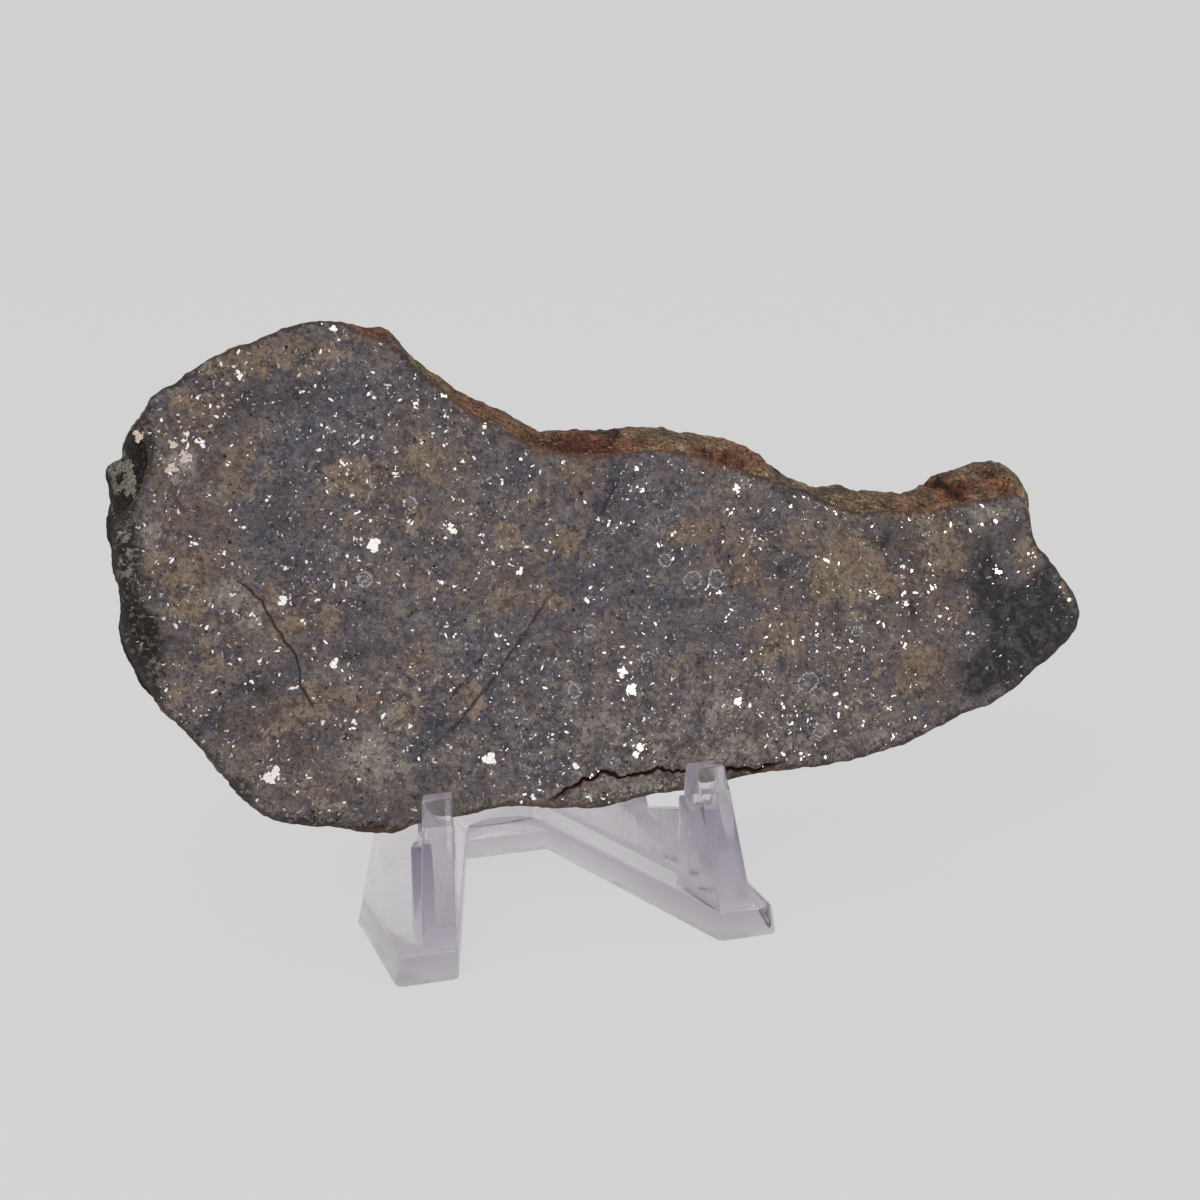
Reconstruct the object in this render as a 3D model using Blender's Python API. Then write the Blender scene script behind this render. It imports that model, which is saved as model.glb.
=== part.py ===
"""A cut slice of chondrite meteorite, standing on a small clear moulded easel.

Metres, +Z up. The slice faces -Y and leans back. The origin is the middle of the whole
object's footprint, on the surface that the easel stands on.
"""

import math

import bmesh
import bpy
import numpy as np
from mathutils import Vector

MM = 0.001
GAP = 0.3  # mm between the slice and each place where the easel carries it

# The easel. It is symmetric about X = 0, and its feet's front faces lie on Y = 0.
FOOT_INNER = 15.0
FOOT_WIDTH = 6.9
SIDE_LENGTH = 18.3
BASE_BACK = 46.0
BASE_HEIGHT = 3.54
LEG_INNER_BACK = 5.06
CROSSBAR_FRONT = 33.2
CROSSBAR_HEIGHT = 2.48
SCOOP_DEPTH = 3.8
SIDE_DRAFT = 0.45
BACK_DRAFT = 0.8
PRONG_FRONT = 0.25
PRONG_INSET = 0.15
PRONG_WIDTH = 4.15
PRONG_TOP_WIDTH = 3.45
PRONG_TOP = 19.12
PRONG_TOP_FRONT = 4.8
PRONG_TOP_BACK = 6.9
PRONG_TOP_SLOPE = 0.1
PRONG_TOP_ROUND = 0.4
PRONG_EDGE = 0.2
SHOULDER_DEPTH = 0.85
SHOULDER_SLOPE = 0.15
SHOULDER_ROUND = 0.4
FIN_FRONT = 7.0
FIN_INSET = 3.24
FIN_THICKNESS = 2.1
FIN_TOP = 41.0
FIN_CREST = 3.6
FIN_CREST_SLOPE = 0.5
FIN_BACK = 43.5
FIN_HEEL = 5.0
FIN_TOP_ROUND = 1.2
FIN_CORNER_ROUND = 0.6
FIN_EDGE = 0.25
LEDGE_DROP = 2.0
SCOOP_MARGIN = 0.12
SCOOP_STEPS = 16
CUTTER_REACH = 2.0
JOIN_OVERLAP = 0.5
CORNER_ROUND = 0.9
REAR_ROUND = 2.5
CROSSBAR_ROUND = 0.5
EDGE_ROUND = 0.3

# How the slice stands: its cut front leans back, and its lowest front edge is at NOTCH.
LEAN = math.radians(17.0)
NOTCH_Y = 7.5
NOTCH_Z = 15.3
THICKNESS = 14.5

# The slice's outline on its cut front, clockwise from the left end: across, up, then how
# far the rough natural side stands outside that outline at its fullest and at the back.
OUTLINE = [
    (-46.9, 33.4, -0.7, -2.6),
    (-46.2, 35.6, 0.0, -2.4),
    (-44.2, 37.5, 1.9, -1.0),
    (-43.0, 39.4, 3.1, 0.2),
    (-42.4, 41.4, 3.6, 0.2),
    (-42.4, 43.0, 2.3, -0.6),
    (-43.1, 44.8, 0.2, -2.2),
    (-41.8, 47.3, -0.2, -2.6),
    (-40.9, 48.6, -0.3, -2.6),
    (-38.7, 49.6, -0.2, -2.4),
    (-36.6, 51.0, -0.2, -2.3),
    (-33.3, 52.4, -0.2, -2.2),
    (-29.8, 53.6, -0.2, -2.0),
    (-25.4, 55.0, -0.2, -1.8),
    (-22.0, 55.4, 0.2, -1.4),
    (-19.6, 54.7, 0.9, -1.0),
    (-17.4, 53.6, 1.6, -0.6),
    (-15.4, 52.6, 2.3, -0.2),
    (-14.0, 51.7, 1.7, -0.2),
    (-12.2, 49.5, 1.8, -0.4),
    (-10.2, 47.3, 2.2, -0.2),
    (-6.6, 44.3, 2.5, 0.2),
    (-3.5, 42.3, 2.9, 0.6),
    (-0.8, 40.6, 2.9, 1.0),
    (1.2, 39.6, 2.5, 1.2),
    (4.6, 38.8, 3.3, 1.8),
    (8.7, 38.5, 3.4, 1.8),
    (12.3, 38.6, 3.2, 1.6),
    (15.4, 38.5, 3.1, 1.5),
    (19.4, 37.6, 3.2, 1.5),
    (22.7, 36.3, 3.8, 1.7),
    (25.9, 34.9, 3.8, 1.5),
    (29.3, 33.6, 2.4, 0.8),
    (31.8, 32.6, 1.5, 0.5),
    (33.8, 31.4, 2.1, 0.7),
    (36.0, 30.3, 3.1, 1.3),
    (38.4, 29.6, 3.5, 1.6),
    (41.8, 29.6, 2.7, 1.2),
    (46.7, 29.0, 2.4, 1.2),
    (49.4, 29.5, 2.8, 1.4),
    (53.8, 29.8, 3.9, 1.8),
    (57.4, 30.1, 4.9, 1.2),
    (59.2, 29.6, 3.4, 0.2),
    (59.7, 27.4, 1.3, -0.4),
    (60.3, 24.3, 1.1, -0.8),
    (61.8, 22.2, 1.2, -0.8),
    (63.8, 19.1, 1.2, -1.0),
    (65.0, 15.9, 1.0, -1.6),
    (64.4, 13.6, 0.6, -2.2),
    (61.4, 11.2, 0.2, -2.4),
    (58.5, 9.3, 0.0, -2.4),
    (55.4, 7.3, 0.0, -2.2),
    (52.4, 6.0, -0.1, -2.0),
    (48.7, 5.2, -0.2, -1.8),
    (44.6, 3.6, -0.2, -1.6),
    (40.2, 2.4, -0.2, -1.4),
    (35.8, 1.6, -0.2, -1.2),
    (29.2, 1.1, -0.3, -1.0),
    (22.3, 1.2, -0.3, -0.9),
    (16.0, 0.4, -0.3, -0.8),
    (9.6, 0.2, -0.3, -0.9),
    (3.6, -0.5, -0.2, -1.2),
    (-2.9, 0.3, -0.3, -1.2),
    (-8.6, 0.8, -0.4, -1.0),
    (-13.4, 0.3, -0.3, -0.8),
    (-17.6, 0.1, -0.2, -0.9),
    (-20.2, -0.5, -0.2, -1.4),
    (-23.2, 0.0, -0.2, -1.6),
    (-26.4, 0.8, -0.3, -1.8),
    (-30.7, 1.7, -0.3, -2.0),
    (-34.2, 3.5, -0.4, -2.2),
    (-36.6, 6.5, -0.5, -2.4),
    (-39.5, 10.6, -0.6, -2.6),
    (-43.3, 15.4, -0.6, -2.8),
    (-45.4, 19.3, -0.6, -2.8),
    (-46.6, 22.8, -0.6, -2.8),
    (-46.6, 28.2, -0.7, -2.8),
]
OUTLINE_STEPS = 260
FINE_STEPS = 24  # places between two rows, before they are spaced evenly
FULLEST = 0.42  # where the natural side is fullest, as a share of the thickness
FRONT_CURVE = 0.8  # under 1, the side leaves the front edge steeply
BACK_CURVE = 1.7  # over 1, the side stays full before it turns in
RING_DEPTHS = (0.0, 0.02, 0.12, 0.26, 0.42, 0.58, 0.74, 0.88, 0.975, 1.0)
EDGE_WEAR = 0.18
LUMP_HEIGHT = 0.5
LUMP_COUNTS = (6, 34)
LUMP_TWIST = 3.0
LUMP_WAVES = 7
LUMP_SEED = 11

SHARP_ANGLE = math.radians(35)
SLICE_COLOUR = (0.085, 0.072, 0.066, 1.0)
EASEL_COLOUR = (0.80, 0.78, 0.84, 1.0)


def clear_scene():
    for obj in list(bpy.data.objects):
        bpy.data.objects.remove(obj, do_unlink=True)


def principled(name, colour, roughness, metallic=0.0, transmission=0.0):
    material = bpy.data.materials.new(name)
    material.use_nodes = True
    shader = material.node_tree.nodes["Principled BSDF"]
    shader.inputs["Base Color"].default_value = colour
    shader.inputs["Roughness"].default_value = roughness
    shader.inputs["Metallic"].default_value = metallic
    shader.inputs["Transmission Weight"].default_value = transmission
    material.diffuse_color = colour
    return material


def new_object(name, rings, material=None):
    """A closed solid from stacked rings of points in mm, its two end rings filled."""
    bm = bmesh.new()
    loops = [[bm.verts.new(Vector(p) * MM) for p in ring] for ring in rings]
    count = len(loops[0])
    for lower, upper in zip(loops, loops[1:]):
        for i in range(count):
            j = (i + 1) % count
            bm.faces.new((lower[i], lower[j], upper[j], upper[i]))
    bm.faces.new(loops[0][::-1])
    bm.faces.new(loops[-1])
    bmesh.ops.recalc_face_normals(bm, faces=bm.faces)
    mesh = bpy.data.meshes.new(name)
    bm.to_mesh(mesh)
    bm.free()
    obj = bpy.data.objects.new(name, mesh)
    bpy.context.collection.objects.link(obj)
    if material:
        mesh.materials.append(material)
    mesh.shade_smooth()
    mesh.set_sharp_from_angle(angle=SHARP_ANGLE)
    return obj


def helper(obj):
    obj.hide_render = True
    obj.display_type = "WIRE"
    return obj


def boolean(target, other, operation):
    modifier = target.modifiers.new(other.name, "BOOLEAN")
    modifier.operation = operation
    modifier.solver = "EXACT"
    modifier.object = other


# The easel

LEG_SLOPE = (FOOT_INNER - LEG_INNER_BACK) / CROSSBAR_FRONT
SHOULDER_Z = NOTCH_Z - GAP
FLANK_Y = NOTCH_Y - GAP
WEB_BACK = FLANK_Y + SHOULDER_DEPTH


def leg_x(y, offset=0.0):
    """X at depth y, a given distance outside a leg's inner edge."""
    return FOOT_INNER - LEG_SLOPE * y + offset


def rounded(corners, steps=3):
    """An outline whose corners, given as (a, b, radius), are arcs of a few steps."""
    points = []
    for before, corner, after in zip(corners[-1:] + corners[:-1], corners, corners[1:] + corners[:1]):
        here = Vector(corner[:2])
        radius = corner[2]
        if radius <= 0.0:
            points.append(tuple(here))
            continue
        back = (Vector(before[:2]) - here).normalized()
        on = (Vector(after[:2]) - here).normalized()
        half = back.angle(on) / 2
        reach = radius / math.tan(half)
        centre = here + (back + on).normalized() * (radius / math.sin(half))
        first = here + back * reach - centre
        last = here + on * reach - centre
        for i in range(steps + 1):
            points.append(tuple(centre + first.slerp(last, i / steps) * radius))
    return points


def inset(outline, distance):
    """The outline moved inwards by a distance, whichever way round it runs."""
    points = np.array(outline)
    nxt = np.roll(points, -1, axis=0)
    area = np.sum(points[:, 0] * nxt[:, 1] - nxt[:, 0] * points[:, 1])
    side = nxt - points
    side /= np.linalg.norm(side, axis=1)[:, None]
    inward = np.stack([-side[:, 1], side[:, 0]], axis=1) * np.sign(area)
    both = inward + np.roll(inward, 1, axis=0)
    both /= np.sum(both * inward, axis=1)[:, None]
    return points + both * distance


def rim(edge, steps=2):
    """How far the rings of a rounded edge are inset, and how far they are from the face."""
    turns = [0.5 * math.pi * i / steps for i in range(steps + 1)]
    return [(edge * (1 - math.sin(t)), edge * (1 - math.cos(t))) for t in turns]


def base_outline(side, back):
    """The base in plan: the right half from its foot to its back, the left half, the crossbar."""
    outer = FOOT_INNER + FOOT_WIDTH - side
    turn = SIDE_LENGTH - back
    rear = BASE_BACK - back
    right = [
        (FOOT_INNER, 0.0, CORNER_ROUND),
        (outer, 0.0, CORNER_ROUND),
        (outer, turn, CORNER_ROUND),
        (outer - LEG_SLOPE * (rear - turn), rear, REAR_ROUND),
    ]
    left = [(-x, y, radius) for x, y, radius in reversed(right)]
    crossbar = [(x, CROSSBAR_FRONT, CROSSBAR_ROUND) for x in (-LEG_INNER_BACK, LEG_INNER_BACK)]
    return rounded(right + left + crossbar)


def base_plate(material):
    low = base_outline(0.0, 0.0)
    high = base_outline(SIDE_DRAFT, BACK_DRAFT)
    rings = []
    for back, away in rim(EDGE_ROUND):
        rings.append([(x, y, away) for x, y in inset(low, back)])
    for back, away in rim(EDGE_ROUND)[::-1]:
        rings.append([(x, y, BASE_HEIGHT - away) for x, y in inset(high, back)])
    return new_object("display_stand", rings, material)


def scoop():
    """The shallow arched step over the crossbar, as a cutter that is open to the front."""
    half = LEG_INNER_BACK - SCOOP_MARGIN
    front = CROSSBAR_FRONT - CUTTER_REACH
    outline = [(-half, front), (half, front)]
    for i in range(SCOOP_STEPS + 1):
        angle = math.pi * i / SCOOP_STEPS
        outline.append((half * math.cos(angle), CROSSBAR_FRONT + SCOOP_DEPTH * math.sin(angle)))
    low = [(x, y, CROSSBAR_HEIGHT) for x, y in outline]
    high = [(x, y, BASE_HEIGHT + CUTTER_REACH) for x, y in outline]
    return helper(new_object("scoop_cutter", [low, high]))


def upright(name, side, profile, inner, outer, edge, taper=0.0):
    """A plate that follows a leg, with an outline in Y and Z.

    Its two sides are at the inner and outer distances from the leg's inner edge. The taper is
    how much thinner it is at PRONG_TOP than at the base, shared by both sides.
    """
    rings = []
    for face, towards in ((inner, 1), (outer, -1)):
        steps = rim(edge) if towards > 0 else rim(edge)[::-1]
        for back, away in steps:
            ring = []
            for y, z in inset(profile, back):
                share = max(0.0, z - BASE_HEIGHT) / (PRONG_TOP - BASE_HEIGHT)
                offset = face + towards * (away + share * taper / 2)
                ring.append((side * leg_x(y, offset), y, z))
            rings.append(ring)
    return helper(new_object(name, rings))


def prong(name, side):
    """The hook in front of the slice, narrower at its top than at the foot."""
    buried = BASE_HEIGHT / 2
    profile = rounded(
        [
            (PRONG_FRONT, buried, 0.0),
            (PRONG_FRONT, BASE_HEIGHT, 0.0),
            (PRONG_TOP_FRONT, PRONG_TOP, PRONG_TOP_ROUND),
            (PRONG_TOP_BACK, PRONG_TOP - PRONG_TOP_SLOPE, PRONG_TOP_ROUND),
            (FLANK_Y, SHOULDER_Z, 0.0),
            (WEB_BACK, SHOULDER_Z - SHOULDER_SLOPE, SHOULDER_ROUND),
            (WEB_BACK, buried, 0.0),
        ]
    )
    taper = PRONG_WIDTH - PRONG_TOP_WIDTH
    return upright(name, side, profile, PRONG_INSET, PRONG_WIDTH, PRONG_EDGE, taper)


def rest_y(z):
    """Y of the fins' leaning front at height z, which is just behind the slice's cut back."""
    slice_back = NOTCH_Y + (z - NOTCH_Z) * math.tan(LEAN) + THICKNESS / math.cos(LEAN)
    return slice_back + GAP / math.cos(LEAN)


def fin(name, side):
    """The thin plate behind a prong: a ledge under the slice, then the rest for its back."""
    ledge_front = SHOULDER_Z - LEDGE_DROP
    ledge_start = WEB_BACK - JOIN_OVERLAP
    square = math.tan(LEAN) + 1.0 / math.tan(LEAN)
    corner_z = ledge_front - (rest_y(ledge_front) - ledge_start) / square
    buried = BASE_HEIGHT / 2
    profile = rounded(
        [
            (FIN_FRONT, buried, 0.0),
            (FIN_FRONT, ledge_front, 0.0),
            (ledge_start, ledge_front, 0.0),
            (rest_y(corner_z), corner_z, FIN_CORNER_ROUND),
            (rest_y(FIN_TOP), FIN_TOP, FIN_TOP_ROUND),
            (rest_y(FIN_TOP) + FIN_CREST, FIN_TOP - FIN_CREST_SLOPE, FIN_TOP_ROUND),
            (FIN_BACK, BASE_HEIGHT + FIN_HEEL, FIN_TOP_ROUND),
            (FIN_BACK, buried, 0.0),
        ]
    )
    return upright(name, side, profile, FIN_INSET, FIN_INSET + FIN_THICKNESS, FIN_EDGE)


def easel():
    plastic = principled("clear_plastic", EASEL_COLOUR, 0.08, transmission=0.9)
    stand = base_plate(plastic)
    for word, side in (("right", 1), ("left", -1)):
        boolean(stand, fin(word + "_fin", side), "UNION")
        boolean(stand, prong(word + "_prong", side), "UNION")
    boolean(stand, scoop(), "DIFFERENCE")
    return stand


# The slice


def closed_curve(columns, count):
    """A closed smooth curve through rows of numbers, at count places evenly spaced along it."""
    rows = np.array(columns)
    nxt = np.roll(rows, -1, axis=0)
    before = np.roll(rows, 1, axis=0)
    after = np.roll(rows, -2, axis=0)
    fine = []
    for t in np.linspace(0.0, 1.0, FINE_STEPS, endpoint=False):
        slope_a = (nxt - before) / 2
        slope_b = (after - rows) / 2
        fine.append(
            (2 * t**3 - 3 * t**2 + 1) * rows
            + (t**3 - 2 * t**2 + t) * slope_a
            + (3 * t**2 - 2 * t**3) * nxt
            + (t**3 - t**2) * slope_b
        )
    curve = np.stack(fine, axis=1).reshape(-1, rows.shape[1])
    step = np.linalg.norm(np.roll(curve, -1, axis=0)[:, :2] - curve[:, :2], axis=1)
    along = np.concatenate([[0.0], np.cumsum(step)])
    closed = np.vstack([curve, curve[:1]])
    places = np.linspace(0.0, along[-1], count, endpoint=False)
    return np.stack([np.interp(places, along, closed[:, k]) for k in range(rows.shape[1])], axis=1)


def outward(points):
    """Unit normals that point out of a clockwise outline."""
    run = np.roll(points, -1, axis=0) - np.roll(points, 1, axis=0)
    run /= np.linalg.norm(run, axis=1)[:, None]
    return np.stack([-run[:, 1], run[:, 0]], axis=1)


def lumps(count, depth_share):
    """Low bumps round the natural side, as a sum of a few waves that meet where they start."""
    rng = np.random.default_rng(LUMP_SEED)
    turn = np.linspace(0.0, 2 * math.pi, count, endpoint=False)
    total = np.zeros(count)
    for wave in range(LUMP_WAVES):
        per_turn = rng.integers(*LUMP_COUNTS)
        phase, twist = rng.uniform(0.0, 2 * math.pi, 2)
        shift = phase + LUMP_TWIST * depth_share * math.sin(twist)
        total += np.sin(per_turn * turn + shift) / LUMP_WAVES
    return total


def wall_offset(share, fullest, back):
    """How far the side stands outside the front outline, at a share of the thickness."""
    if share <= FULLEST:
        return fullest * math.sin(0.5 * math.pi * share / FULLEST) ** FRONT_CURVE
    rest = (share - FULLEST) / (1.0 - FULLEST)
    return fullest + (back - fullest) * rest**BACK_CURVE


def on_stand(across, up, depth):
    """Slice coordinates to the easel's: up runs along the leaning front, depth into the stone."""
    y = NOTCH_Y + up * math.sin(LEAN) + depth * math.cos(LEAN)
    z = NOTCH_Z + up * math.cos(LEAN) - depth * math.sin(LEAN)
    return (across, y, z)


def meteorite():
    stone = principled("cut_stone", SLICE_COLOUR, 0.45)
    curve = closed_curve(OUTLINE, OUTLINE_STEPS)
    points, fullest, back = curve[:, :2], curve[:, 2], curve[:, 3]
    normals = outward(points)
    rings = []
    for share in RING_DEPTHS:
        side = np.array([wall_offset(share, f, b) for f, b in zip(fullest, back)])
        inside = math.sin(math.pi * min(1.0, max(0.0, share)))
        side += LUMP_HEIGHT * inside * lumps(OUTLINE_STEPS, share)
        if share in (RING_DEPTHS[0], RING_DEPTHS[-1]):
            side -= EDGE_WEAR
        placed = points + normals * side[:, None]
        rings.append([on_stand(u, w, share * THICKNESS) for u, w in placed])
    return new_object("meteorite_slice", rings, stone)


def centre_on_footprint(objects):
    """Puts the origin under the middle of the whole object's box, at the height it stands on."""
    graph = bpy.context.evaluated_depsgraph_get()
    corners = []
    for obj in objects:
        mesh = obj.evaluated_get(graph).to_mesh()
        corners += [v.co.copy() for v in mesh.vertices]
    low = [min(c[k] for c in corners) for k in range(3)]
    high = [max(c[k] for c in corners) for k in range(3)]
    shift = Vector((-(low[0] + high[0]) / 2, -(low[1] + high[1]) / 2, -low[2]))
    for obj in bpy.data.objects:
        obj.location += shift


def main():
    clear_scene()
    objects = [easel(), meteorite()]
    bpy.context.view_layer.update()
    centre_on_footprint(objects)


main()
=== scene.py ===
"""Looks of the chondrite slice on its small clear easel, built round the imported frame.

Metres, +Z up. Sizes in the constants are millimetres: across and up the slice's cut
front, then depth into the stone, in the same frame as the easel's own dimensions.
"""

import math

import bmesh
import bpy
import numpy as np
from mathutils import Matrix, Vector, noise
from mathutils.geometry import delaunay_2d_cdt


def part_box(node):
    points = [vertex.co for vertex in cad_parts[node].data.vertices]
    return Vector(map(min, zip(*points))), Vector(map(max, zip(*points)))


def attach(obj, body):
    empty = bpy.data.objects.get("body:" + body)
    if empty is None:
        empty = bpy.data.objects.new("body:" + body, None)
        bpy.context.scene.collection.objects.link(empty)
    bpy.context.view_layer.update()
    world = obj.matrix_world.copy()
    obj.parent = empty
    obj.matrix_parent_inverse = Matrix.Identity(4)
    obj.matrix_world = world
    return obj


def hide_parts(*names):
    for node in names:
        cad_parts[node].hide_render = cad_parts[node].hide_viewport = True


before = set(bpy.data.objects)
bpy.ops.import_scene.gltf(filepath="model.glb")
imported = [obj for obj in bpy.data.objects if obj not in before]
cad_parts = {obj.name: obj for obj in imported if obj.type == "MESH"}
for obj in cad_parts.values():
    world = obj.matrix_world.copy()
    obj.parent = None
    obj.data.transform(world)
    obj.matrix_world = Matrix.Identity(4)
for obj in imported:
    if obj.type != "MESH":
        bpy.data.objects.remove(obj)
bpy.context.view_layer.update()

MM = 0.001

# The easel's own frame in the world, in mm: mid front, on the floor
EASEL_LOW, EASEL_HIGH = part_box("display_stand")
ORIGIN = np.array([(EASEL_LOW[0] + EASEL_HIGH[0]) / 2, EASEL_LOW[1], 0.0]) / MM

# How the slice stands, as in the frame
LEAN = math.radians(17.0)
NOTCH_Y = 7.5
NOTCH_Z = 15.3
THICKNESS = 14.5

# The slice's outline on its cut front, clockwise from the left end: across, up, then how
# far the rough natural side stands outside that outline at its fullest and at the back.
OUTLINE = [
    (-46.9, 33.4, -0.5, -2.6), (-46.2, 35.6, 0.3, -2.4), (-44.2, 37.5, 2.3, -1), (-43, 39.4, 3.3, 0.2),
    (-42.4, 41.4, 3.5, 0.2), (-42.4, 43, 2.3, -0.6), (-43.1, 44.8, 0.2, -2.2),
    (-41.8, 47.3, -0.2, -2.6), (-40.9, 48.6, -0.3, -2.6), (-38.7, 49.6, -0.2, -2.4),
    (-36.6, 51, -0.2, -2.3), (-33.3, 52.4, -0.2, -2.2), (-29.8, 53.6, -0.2, -2),
    (-25.4, 55, -0.2, -1.8), (-22, 55.4, 0.2, -1.4), (-19.6, 54.7, 0.9, -1), (-17.4, 53.6, 1.6, -0.6),
    (-15.4, 52.6, 2.3, -0.2), (-14, 51.7, 1.7, -0.2), (-12.2, 49.5, 1.8, -0.4),
    (-10.2, 47.3, 2.2, -0.2), (-6.6, 44.3, 2.5, 0.2), (-3.5, 42.3, 2.9, 0.6), (-0.8, 40.6, 2.9, 1),
    (1.2, 39.6, 2.5, 1.2), (4.6, 38.8, 3.3, 1.8), (8.7, 38.5, 3.4, 1.8), (12.3, 38.6, 3.2, 1.6),
    (15.4, 38.5, 3.1, 1.5), (19.4, 37.6, 3.2, 1.5), (22.7, 36.3, 3.8, 1.7), (25.9, 34.9, 3.8, 1.5),
    (29.3, 33.6, 2.4, 0.8), (31.8, 32.6, 1.5, 0.5), (33.8, 31.4, 2.1, 0.7), (36, 30.3, 3.1, 1.3),
    (38.4, 29.6, 3.5, 1.6), (41.8, 29.6, 2.7, 1.2), (46.7, 29, 2.5, 1.2), (49.4, 29.5, 2.7, 1.4),
    (51.3, 29.6, 2.7, 1.4), (52, 29.7, 3.9, 1.7), (54.5, 29.9, 4.2, 1.8), (57.4, 30.1, 4.6, 1.2),
    (59.2, 29.6, 3.4, 0.2), (59.7, 27.4, 1.3, -0.4), (60.3, 24.3, 1.1, -0.8), (61.8, 22.2, 1.2, -0.8),
    (63.8, 19.1, 1.2, -1), (65, 15.9, 1, -1.6), (64.4, 13.6, 0.6, -2.2), (61.4, 11.2, 0.2, -2.4),
    (58.5, 9.3, 0, -2.4), (55.4, 7.3, 0, -2.2), (52.4, 6, -0.1, -2), (48.7, 5.2, -0.2, -1.8),
    (44.6, 3.6, -0.2, -1.6), (40.2, 2.4, -0.2, -1.4), (35.8, 1.6, -0.2, -1.2), (29.2, 1.1, -0.3, -1),
    (22.3, 1.2, -0.3, -0.9), (16, 0.4, -0.3, -0.8), (9.6, 0.2, -0.3, -0.9), (3.6, -0.5, -0.2, -1.2),
    (-2.9, 0.3, -0.3, -1.2), (-8.6, 0.8, -0.4, -1), (-13.4, 0.3, -0.3, -0.8), (-17.6, 0.1, -0.2, -0.9),
    (-20.2, -0.5, -0.2, -1.4), (-23.2, 0, -0.2, -1.6), (-26.4, 0.8, -0.3, -1.8), (-30.7, 1.7, -0.3, -2),
    (-34.2, 3.5, -0.4, -2.2), (-36.6, 6.5, -0.5, -2.4), (-39.5, 10.6, -0.6, -2.6),
    (-43.3, 15.4, -0.6, -2.8), (-45.4, 19.3, -0.6, -2.8), (-46.6, 22.8, -0.6, -2.8),
    (-46.6, 28.2, -0.7, -2.8),
]
OUTLINE_STEPS = 960
GRAIN_OUTLINE_STEPS = 240  # enough to tell whether a grain lies inside
REACH = (-46.81, 65.9)  # how far left and right the slice may go
TOP = 55.32  # and how far up

# The natural side: where it is fullest, and how it curves before and behind that
FULLEST = 0.42
FRONT_CURVE = 0.8
BACK_CURVE = 1.7

# The stone's surface. Each noise is a size and a height.
RINGS = 36
RING_CROWDING = 1.25  # above 1, the rings lie closer near the front
EDGE_JITTER = ((2.6, 0.12), (1.1, 0.15), (0.5, 0.06))
SIDE_RELIEF = ((5.0, 0.15), (2.1, 0.3), (0.9, 0.17), (0.45, 0.07))
RELIEF_STARTS, RELIEF_ENDS = 0.05, 0.03  # shares of the thickness where it grows and fades
FACE_GRID = 0.5
BACK_GRID = 0.9
GRID_ROWS = 0.866  # the rows' distance, in steps
GRID_JITTER = 0.18
EDGE_CLEAR = 0.45  # no grid point nearer to the outline, in steps
SAME_PLACE = 0.05  # of points nearer than this, one stays
BORDER_REACH = 3.0  # how far in the border is measured
MARKS = ("crack", "seam", "shock", "border", "relief")

# Lines in the cut front, as places across and up
BOTTOM_CRACK = [
    (-2.8, 0.9), (0.2, 1.9), (2.7, 2.9), (3.9, 3.2), (6.8, 2.6), (9.7, 2.9), (13.3, 2.5), (16.3, 2.1),
    (19.8, 1.8), (22.8, 1.7), (26.5, 1.9),
]
BROWN_CRACK = [
    (-34.4, 28.7), (-31.7, 25.7), (-30.8, 23), (-28.8, 20), (-28.3, 18.1), (-28.4, 16.3), (-27.5, 14.3),
    (-27, 13),
]
SHOCK_LINE = [
    (10.4, 37.2), (6.6, 31.4), (-1.3, 21.8), (-7.1, 14.9), (-12, 10.2), (-15.9, 7.2),
]
SHOCK_TWIN = [(-7.6, 17.9), (-10, 15.4), (-12.6, 12.9)]
LINES = (  # places, half width, depth, how far they waver, the attribute they mark
    (BOTTOM_CRACK, 0.135, 0.65, 0.5, "crack"),
    (BROWN_CRACK, 0.1, 0.16, 0.3, "seam"),
    (SHOCK_LINE, 0.17, 0.03, 0.09, "shock"),
    (SHOCK_TWIN, 0.13, 0.02, 0.12, "shock"),
)
GROOVE_ROWS = (-2, -1, 0, 1, 2)  # rows of points along a groove, in half widths
GROOVE_SHOULDER = 1.6  # where its side begins
GROOVE_TAPER = 12.0  # its ends fade over a twelfth of its length
GROOVE_UNEVEN = ((1.3, 0.9),)
GROOVE_WIDTHS = (0.55, 1.7)
FADE_AT, FADE_SPAN, FADE_DEPTH = 0.32, 0.13, 0.8  # a faint stretch along the shock lines
CRACK_CLEAR = 0.42  # no small grain nearer to a crack than this
SMEAR_UNEVEN = ((1.5, 0.5),)
SMEARS = (  # dark drags beside the shock line: from, to, half width, strength
    ((10, 37), (6.6, 32.6), 0.75, 1), ((-13.4, 10.9), (-17.2, 7.2), 0.8, 1),
    ((-14.6, 11), (-16.4, 9.2), 0.7, 0.8), ((-33.9, 17.6), (-40, 12.6), 0.9, 0.8),
    ((-33, 15.4), (-36.6, 11.6), 0.6, 0.5), ((6.2, 30.4), (-4.5, 17.6), 0.5, 0.5),
)

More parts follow.
